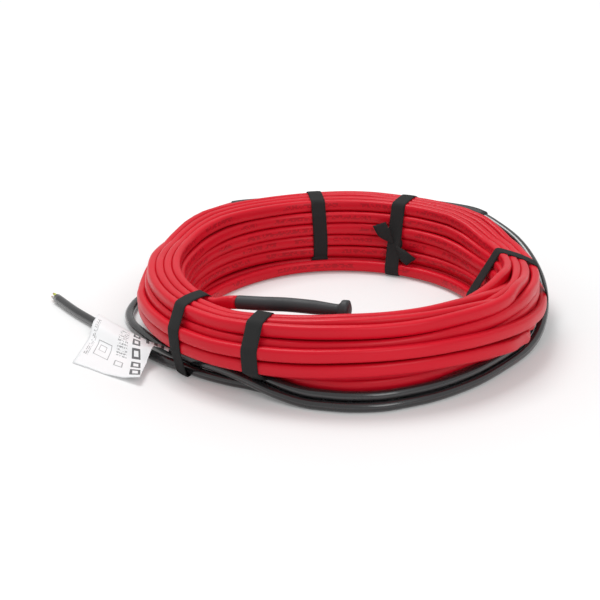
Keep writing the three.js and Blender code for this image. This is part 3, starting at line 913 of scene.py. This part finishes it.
# Knot and folded end: height, size across, up and out of the bore's wall, and middle of the wall they lie on
KNOT_HEIGHT = 19.6
KNOT_SIZE = (8.6, 6.4, 5.2)
KNOT_WALL = 19.5
FOLD_HEIGHT = 7.4
FOLD_SIZE = (10.4, 4.6, 3.0)
FOLD_WALL = 7.5
WALL_HALF = 5.0
# Tails of the knot as (across the wall, up, length, width at the tip)
KNOT_TAILS = ((-8.2, 11.6, 14.5, 9.0), (10.6, -7.6, 13.5, 7.4))
TAIL_ROOT_WIDTH = 2.6
TAIL_ROOT_OUT = 2.4
TAIL_BULGE = 3.0
TAIL_WIDENING = 1.6
TAIL_BEND = 2.3


def wall_place(angle, radius, z, across, up, inward):
    """A point given from a place on the bore's wall: across it to the right, up it and out of it."""
    turn = math.radians(angle)
    right = np.array([math.sin(turn), -math.cos(turn), 0.0])
    toward_axis = np.array([-math.cos(turn), -math.sin(turn), 0.0])
    base = np.array([radius * math.cos(turn), radius * math.sin(turn), z])
    return base + across * right + up * np.array([0.0, 0.0, 1.0]) + inward * toward_axis


def pillow(centre, angle, size, name):
    """A squashed ball of tape against the bore's wall; size is across, up and out of the wall."""
    rows, columns, squareness, thread = 12, 20, 0.7, 1.2
    vertices = []
    for row in range(rows + 1):
        lift = math.pi * (row / rows - 0.5)
        for column in range(columns):
            turn = 2.0 * math.pi * column / columns
            flat = [math.copysign(abs(x) ** squareness, x) for x in
                    (math.cos(lift) * math.cos(turn), math.sin(lift), math.cos(lift) * math.sin(turn))]
            wrinkle = 1.0 + 0.05 * math.sin(5.0 * turn + 3.0 * lift)
            vertices.append(wall_place(angle, *centre, *(0.5 * s * f * wrinkle for s, f in zip(size, flat))))
    along = [(column * thread, row * thread)
             for row in range(rows) for column in range(columns) for _ in range(4)]
    piece = make_object(name, vertices, ring_faces(rows + 1, columns), woven_tape(), along)


def tape_tail(centre, angle, tail, thickness, name):
    """A tail of tape that stands out of the knot and widens to its cut tip."""
    across, up, length, width = tail
    reach = math.hypot(across, up)
    go, side = np.array([across, up]) / reach, np.array([-up, across]) / reach
    rings, knot_reach, skew, hollow, thread = 14, 1.5, 0.9, 1.0, 1.6
    columns = np.linspace(-1.0, 1.0, 6)
    profile = [(s, 0.0) for s in columns] + [(s, thickness) for s in columns[::-1]]
    vertices = []
    for ring in range(rings + 1):
        done = ring / rings
        half = 0.5 * (TAIL_ROOT_WIDTH + (width - TAIL_ROOT_WIDTH) * smoothstep(done * TAIL_WIDENING))
        middle = go * (knot_reach + length * done)
        out = TAIL_ROOT_OUT + TAIL_BULGE * math.sin(done * TAIL_BEND)
        for s, lift in profile:
            spot = middle + side * s * half + go * skew * s * (ring == rings)
            cup = hollow * (1.0 - s * s) * (1.0 - done)
            vertices.append(wall_place(angle, *centre, spot[0], spot[1], out + lift + cup))
    count = len(profile)
    last = rings * count
    ends = [tuple(reversed(range(count))), tuple(range(last, last + count))]
    along = ring_along(np.arange(rings + 1) * (length / rings), np.arange(count + 1) * thread)
    along += [(0.0, 0.0)] * (2 * count)
    piece = make_object(name, vertices, ring_faces(rings + 1, count) + ends, woven_tape(), along)


def wall_radius(tie, middle, thickness):
    """Radius of a tie's inner face on the bore's wall round a height."""
    wall = section_points(tie, mm(bpy.context.scene.coil_ties.width) / 2.0)
    return wall[np.abs(wall[:, 1] - middle) < WALL_HALF][:, 0].min() - thickness


class COIL_OT_tie_knot(bpy.types.Operator):
    """Tie the knot with its two tails, and fold the end of the other back tie"""

    bl_idname = "coil.tie_knot"
    bl_label = "Tie knot"

    def execute(self, context):
        thickness = mm(context.scene.coil_ties.thickness)
        knotted, folded = TIES["tie_back_knotted"]["angle"], TIES["tie_back_left"]["angle"]
        knot = (wall_radius("tie_back_knotted", KNOT_WALL, thickness), KNOT_HEIGHT)
        pillow(knot, knotted, KNOT_SIZE, "tie_knot")
        for index, tail in enumerate(KNOT_TAILS):
            tape_tail(knot, knotted, tail, thickness, f"tie_tail_{index + 1}")
        fold = (wall_radius("tie_back_left", FOLD_WALL, thickness), FOLD_HEIGHT)
        pillow(fold, folded, FOLD_SIZE, "tie_folded_end")
        return {"FINISHED"}


class COIL_OT_fit_sleeve(bpy.types.Operator):
    """Fit the splice sleeve"""

    bl_idname = "coil.fit_sleeve"
    bl_label = "Fit splice sleeve"

    def execute(self, context):
        centres = curve_through([polar(radius, angle, z) for angle, radius, z in SLEEVE_ROUTE], SLEEVE_STEP)
        diameter = mm(context.scene.coil_lead.sleeve)
        place = np.linspace(0.0, 1.0, len(centres))
        cable_taper, lead_taper, flatness, squareness = 0.1, 0.16, 0.9, 2.2
        swell = 1.0 - cable_taper * np.exp(-place / 0.02) - lead_taper * np.exp(-(1.0 - place) / 0.03)
        sections = oval(diameter * flatness, diameter, 24, squareness)[None] * swell[:, None, None]
        vertices, faces, along = tube(centres, sections)
        piece = make_object("splice_sleeve_tube", vertices, faces, shrink_tube(), along)
        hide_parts("splice_sleeve")
        return {"FINISHED"}


class COIL_OT_fit_seal(bpy.types.Operator):
    """Fit the end seal: shrink tube, crimped neck and flared tip"""

    bl_idname = "coil.fit_seal"
    bl_label = "Fit end seal"

    def execute(self, context):
        diameter = mm(context.scene.coil_lead.seal)
        line = curve_through([polar(*corner) for corner in SEAL_ROUTE], SEAL_STEP)
        place = np.linspace(0.0, 1.0, len(line))
        across = np.interp(place, *zip(*SEAL_PROFILE)) * diameter / 2.0
        turn = np.arange(32) * (2.0 * math.pi / 32)
        ring = np.stack([np.cos(turn), np.sin(turn)], axis=1)
        flare_start, flare_rise, lobe_count, lobe_depth = 0.9, 0.03, 3.0, 0.035
        flare = share(place - flare_start, flare_rise)[:, None, None]
        lobes = 1.0 + lobe_depth * flare * np.cos(lobe_count * turn + 0.6)[None, :, None]
        vertices, faces, along = tube(line, ring[None] * across[:, None, None] * lobes)
        piece = make_object("end_seal_tube", vertices, faces, shrink_tube(), along)
        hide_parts("end_seal")
        return {"FINISHED"}


# The label

# Columns from the left edge to the tie, each as its far end and its near end (x, y, height over its rest)
LABEL_COLUMNS = (
    ((-137.0, -1.0, 0.0), (-141.9, -58.0, 0.0)), ((-129.5, -9.5, 0.0), (-132.0, -65.0, 0.0)),
    ((-122.0, -18.5, 0.0), (-122.5, -72.5, 0.0)), ((-115.0, -27.0, 0.2), (-112.0, -79.5, 1.2)),
    ((-109.5, -33.5, 0.8), (-102.5, -85.0, 4.0)), ((-105.0, -38.0, 1.6), (-101.0, -66.0, 4.6)),
    ((-100.5, -43.5, 2.6), (-98.5, -58.0, 4.2)), ((-95.5, -50.0, 4.6), (-95.0, -57.5, 3.0)),
    ((-90.4, -57.0, 6.4), (-90.8, -59.6, 1.6)),
)
LABEL_ROWS = 26
LABEL_STEPS = 7
LABEL_THICKNESS = 0.25
# The film lies on the floor, and over the cold lead with a slope to each side of it
LABEL_ON_FLOOR = 0.45
LABEL_OVER_LEAD = 5.3
LEAD_CREST = 3.0
LEAD_SLOPE = 9.0
LEAD_UNDER_TIE = (-86.0, -66.0)
# How much of its lift a column has at its far end
FAR_LIFT = 0.35


def label_rest(spots):
    """Height at which the film rests on the floor and over the cold lead's free end."""
    line = np.array([LEAD_UNDER_TIE, *FREE_END])
    nearest = np.full(len(spots), 1e9)
    for start, end in zip(line, line[1:]):
        step = end - start
        along = np.clip(((spots - start) @ step) / (step @ step), 0.0, 1.0)
        nearest = np.minimum(nearest, np.linalg.norm(spots - start - along[:, None] * step, axis=1))
    return LABEL_ON_FLOOR + LABEL_OVER_LEAD * (1.0 - smoothstep((nearest - LEAD_CREST) / LEAD_SLOPE))


@functools.lru_cache(maxsize=None)
def label_film():
    """Satin white film with plain bars, ticks and a ruled box where a label is printed."""
    white = tuple(bpy.context.scene.coil_finishes.film)
    finish = Finish("white_film", Roughness=0.42, Specular_IOR_Level=0.5)
    u, v = finish.along()

    def within(value, low, high):
        """1 between two distances in millimetres."""
        return (value > low * MM) * (value < high * MM)

    def stripes(value, pitch, width):
        """1 on stripes of a width, one in each pitch, in millimetres."""
        return (value % (pitch * MM)) < width * MM

    def ruled(left, right, low, high, line):
        """1 on the outline of a box."""
        outer = within(u, left, right) * within(v, low, high)
        return outer - within(u, left + line, right - line) * within(v, low + line, high - line)

    bar_pitch, bar_length = 10.5, 7.8
    bars = within(u, 38.5, 45.5) * within(v, 3.0, 50.5) * stripes(v, bar_pitch, bar_length)
    hollow = within(u, 40.2, 43.8) * within(v % (bar_pitch * MM), 1.8, 6.0)
    tail = within(u, 52.0, 66.0) * stripes(u, 5.2, 2.4) * within(v, 2.0, 12.0)
    cell = finish.pair((u / (0.7 * MM)).floor(), (v / (0.9 * MM)).floor())
    inked = finish.speckle(cell) > 0.45
    lines = within(u, 25.5, 34.5) * within(v, 6.0, 30.0) * stripes(v, 2.2, 1.2) * inked
    margin = within(u, 2.5, 6.0) * within(v, 8.0, 44.0) * stripes(u, 1.4, 0.8) * inked
    boxes = ruled(9.0, 21.5, 24.0, 40.0, 0.6) + ruled(11.5, 17.5, 27.0, 33.5, 0.5)
    mark = ruled(26.5, 33.0, 36.0, 42.5, 0.8)
    bold = bars - bars * hollow + tail
    ink = (bold * 0.9 + (lines + margin + boxes + mark) * 0.62).clamp()
    paper = finish.blend(finish.noise(120.0, 3.0), tuple(c * 0.95 for c in white), white)
    finish.set(Base_Color=finish.blend(ink, paper, (0.03, 0.03, 0.035)))
    finish.set(Roughness=finish.noise(300.0, 2.0) * 0.12 + 0.38)
    finish.bump(finish.noise(90.0, 2.0), 0.0006, 0.25)
    return finish.material


def label_grid():
    """Points of the film's under side, column by column from its left edge to the tie."""
    ends = np.array(LABEL_COLUMNS)
    knots = np.arange(len(ends))
    fine = np.linspace(0.0, len(ends) - 1.0, (len(ends) - 1) * LABEL_STEPS + 1)
    far, near = (np.stack([np.interp(fine, knots, ends[:, side, axis]) for axis in range(3)], axis=1)[:, None]
                 for side in range(2))
    row = np.linspace(0.0, 1.0, LABEL_ROWS)[None, :, None]
    grid = far * (1.0 - row) + near * row
    rest = label_rest(grid[..., :2].reshape(-1, 2)).reshape(grid.shape[:2])
    grid[..., 2] = rest + grid[..., 2] * np.linspace(FAR_LIFT, 1.0, LABEL_ROWS)[None]
    return grid


def label_flat(under):
    """The film laid flat: distance of each point from the left edge and from the far edge."""
    columns, rows = under.shape[:2]
    middle = under.mean(axis=1)
    from_left = np.concatenate([[0.0], np.cumsum(np.linalg.norm(np.diff(middle, axis=0), axis=1))])
    steps = np.cumsum(np.linalg.norm(np.diff(under, axis=1), axis=2), axis=1)
    from_far = np.concatenate([np.zeros((columns, 1)), steps], axis=1)
    return np.stack([np.repeat(from_left[:, None], rows, axis=1), from_far], axis=2)


def label_faces(columns, rows):
    """Faces of the film's under side, its upper side and its rim."""
    half = columns * rows
    faces = []
    for column in range(columns - 1):
        for row in range(rows - 1):
            a, b = column * rows + row, (column + 1) * rows + row
            faces.append((a, a + 1, b + 1, b))
            faces.append((half + a, half + b, half + b + 1, half + a + 1))
    rim = [column * rows for column in range(columns)]
    rim += [(columns - 1) * rows + row for row in range(1, rows)]
    rim += [column * rows + rows - 1 for column in range(columns - 2, -1, -1)]
    rim += list(range(rows - 2, 0, -1))
    for start, end in zip(rim, rim[1:] + rim[:1]):
        faces.append((start, end, half + end, half + start))
    return faces


class COIL_OT_lay_label(bpy.types.Operator):
    """Lay the white film label over the cold lead's free end"""

    bl_idname = "coil.lay_label"
    bl_label = "Lay label"

    def execute(self, context):
        under = label_grid()
        over = under + (0.0, 0.0, LABEL_THICKNESS)
        vertices = np.concatenate([under.reshape(-1, 3), over.reshape(-1, 3)])
        flat = label_flat(under)
        faces = label_faces(*under.shape[:2])
        along = np.tile(flat.reshape(-1, 2), (2, 1))[np.concatenate([np.array(face) for face in faces])]
        piece = make_object("label_sheet", vertices, faces, label_film(), along)
        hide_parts("label")
        self.hang_on_lead(context)
        return {"FINISHED"}

    def hang_on_lead(self, context):
        """Works out the cold lead's centre line; nothing is made from it."""
        centres = lead_line()


# The cores

CORE_FINISHES = {
    "core_earth": ("core_green_yellow", (0.5, 0.55, 0.06)),
    "core_neutral": ("core_grey", (0.55, 0.55, 0.52)),
    "core_live": ("core_brown", (0.3, 0.1, 0.03)),
}
COPPER_OUT = 1.4
COPPER_DIAMETER = 1.0


class COIL_OT_bare_cores(bpy.types.Operator):
    """Finish the three cores and stand copper in them"""

    bl_idname = "coil.bare_cores"
    bl_label = "Bare cores"

    def execute(self, context):
        copper = plain_material("bare_copper", (0.75, 0.32, 0.16), 0.3)
        copper.node_tree.nodes["Principled BSDF"].inputs["Metallic"].default_value = 1.0
        line = lead_line()
        forward = line[-1] - line[-3]
        forward /= np.linalg.norm(forward)
        for name, (finish, colour) in CORE_FINISHES.items():
            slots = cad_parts[name].data.materials
            slots.clear()
            slots.append(plain_material(finish, colour, 0.45))
            low, high = (np.array(corner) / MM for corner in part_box(name))
            start = (low + high) / 2.0 + forward * COPPER_OUT
            vertices, faces, along = tube(np.array([start, start + forward, start + 2.0 * forward]),
                                          oval(COPPER_DIAMETER, COPPER_DIAMETER, 10, ROUND)[None])
            make_object("copper_" + name, vertices, faces, copper, along)
        return {"FINISHED"}


# The studio


class COIL_OT_set_stage(bpy.types.Operator):
    """Set the floor, the lights and the camera"""

    bl_idname = "coil.set_stage"
    bl_label = "Set stage"

    def execute(self, context):
        floor_mesh = bpy.data.meshes.new("studio_floor")
        half, painted_glow_start, painted_glow_reach, floor_share = 6.0, 0.12, 0.4, 0.84
        floor_mesh.from_pydata([(-half, -half, 0), (half, -half, 0), (half, half, 0), (-half, half, 0)], [],
                               [(0, 1, 2, 3)])
        floor = bpy.data.objects.new("studio_floor", floor_mesh)
        context.scene.collection.objects.link(floor)
        finish = Finish("studio_floor", Roughness=0.85, Specular_IOR_Level=0.15, Emission_Strength=1.0)
        # Painted light: the floor glows, dimly near the coil and brighter further out, standing in for a lit
        # studio sweep
        far = finish.node("VectorMath", {"operation": "LENGTH"}, output=1, i0=finish.place())
        painted_glow = ((far - painted_glow_start) / painted_glow_reach).clamp()
        finish.set(Base_Color=(*(c * floor_share for c in context.scene.coil_finishes.floor), 1.0),
                   Emission_Color=finish.blend(painted_glow, (0.12, 0.12, 0.12), (0.42, 0.42, 0.42)))
        floor_mesh.materials.append(finish.material)
        world = bpy.data.worlds.new("studio_world")
        world.use_nodes = True
        background = world.node_tree.nodes["Background"]
        background.inputs["Color"].default_value = (1.0, 1.0, 1.0, 1.0)
        background.inputs["Strength"].default_value = 0.6
        context.scene.world = world
        self.add_light("key_light", place=(-0.3, 0.35, 1.2), size=0.62, power=9.5)
        self.add_light("fill_light", place=(0.5, -0.9, 0.8), size=0.6, power=3.6)
        self.add_camera(context)
        context.scene.view_settings.view_transform = "Standard"
        return {"FINISHED"}

    def add_light(self, name, place, size, power):
        """A square light that faces the origin."""
        light = bpy.data.lights.new(name, "AREA")
        light.energy = power
        light.size = size
        lamp = bpy.data.objects.new(name, light)
        lamp.location = place
        aim = -np.array(place) / np.linalg.norm(place)
        lamp.rotation_euler = (math.acos(-aim[2]), 0.0, math.atan2(-aim[0], aim[1]))
        bpy.context.scene.collection.objects.link(lamp)

    def add_camera(self, context):
        """The photograph's view: target at a named pixel of the 600 pixel frame."""
        frame_px, focal_px, target_px = 600.0, 1335.0, (342.0, 288.5)
        elevation, distance, target_z = math.radians(21.0), 0.75, 0.02
        camera = bpy.data.cameras.new("camera")
        camera.sensor_width = 36.0
        camera.lens = 36.0 * focal_px / frame_px
        camera.shift_x = -(target_px[0] - frame_px / 2.0) / frame_px
        camera.shift_y = (target_px[1] - frame_px / 2.0) / frame_px
        eye = bpy.data.objects.new("camera", camera)
        eye.location = (0.0, -distance * math.cos(elevation), target_z + distance * math.sin(elevation))
        eye.rotation_euler = (math.pi / 2.0 - elevation, 0.0, 0.0)
        context.scene.collection.objects.link(eye)
        context.scene.camera = eye


class COIL_PT_panel(bpy.types.Panel):
    """Lists the coil's operators"""

    bl_idname = "COIL_PT_panel"
    bl_label = "Heating cable coil"
    bl_space_type = "VIEW_3D"
    bl_region_type = "UI"
    bl_category = "Cable coil"

    def draw(self, context):
        for operator in OPERATORS:
            self.layout.operator(operator.bl_idname)


OPERATORS = (
    COIL_OT_set_stage,
    COIL_OT_wind_cable,
    COIL_OT_lay_lead,
    COIL_OT_fit_seal,
    COIL_OT_fit_sleeve,
    COIL_OT_tie_coil,
    COIL_OT_tie_knot,
    COIL_OT_lay_label,
    COIL_OT_bare_cores,
)
CLASSES = (CableSizes, LeadSizes, TieSizes, Finishes, *OPERATORS, COIL_PT_panel)
SETTINGS = {
    "coil_cable": CableSizes,
    "coil_lead": LeadSizes,
    "coil_ties": TieSizes,
    "coil_finishes": Finishes,
}


def register():
    for cls in CLASSES:
        bpy.utils.register_class(cls)
    for name, group in SETTINGS.items():
        setattr(bpy.types.Scene, name, bpy.props.PointerProperty(type=group))


def unregister():
    for name in SETTINGS:
        delattr(bpy.types.Scene, name)
    for cls in reversed(CLASSES):
        bpy.utils.unregister_class(cls)


def main():
    register()
    for operator in OPERATORS:
        group, name = operator.bl_idname.split(".")
        getattr(getattr(bpy.ops, group), name)()


if __name__ == "__main__":
    main()
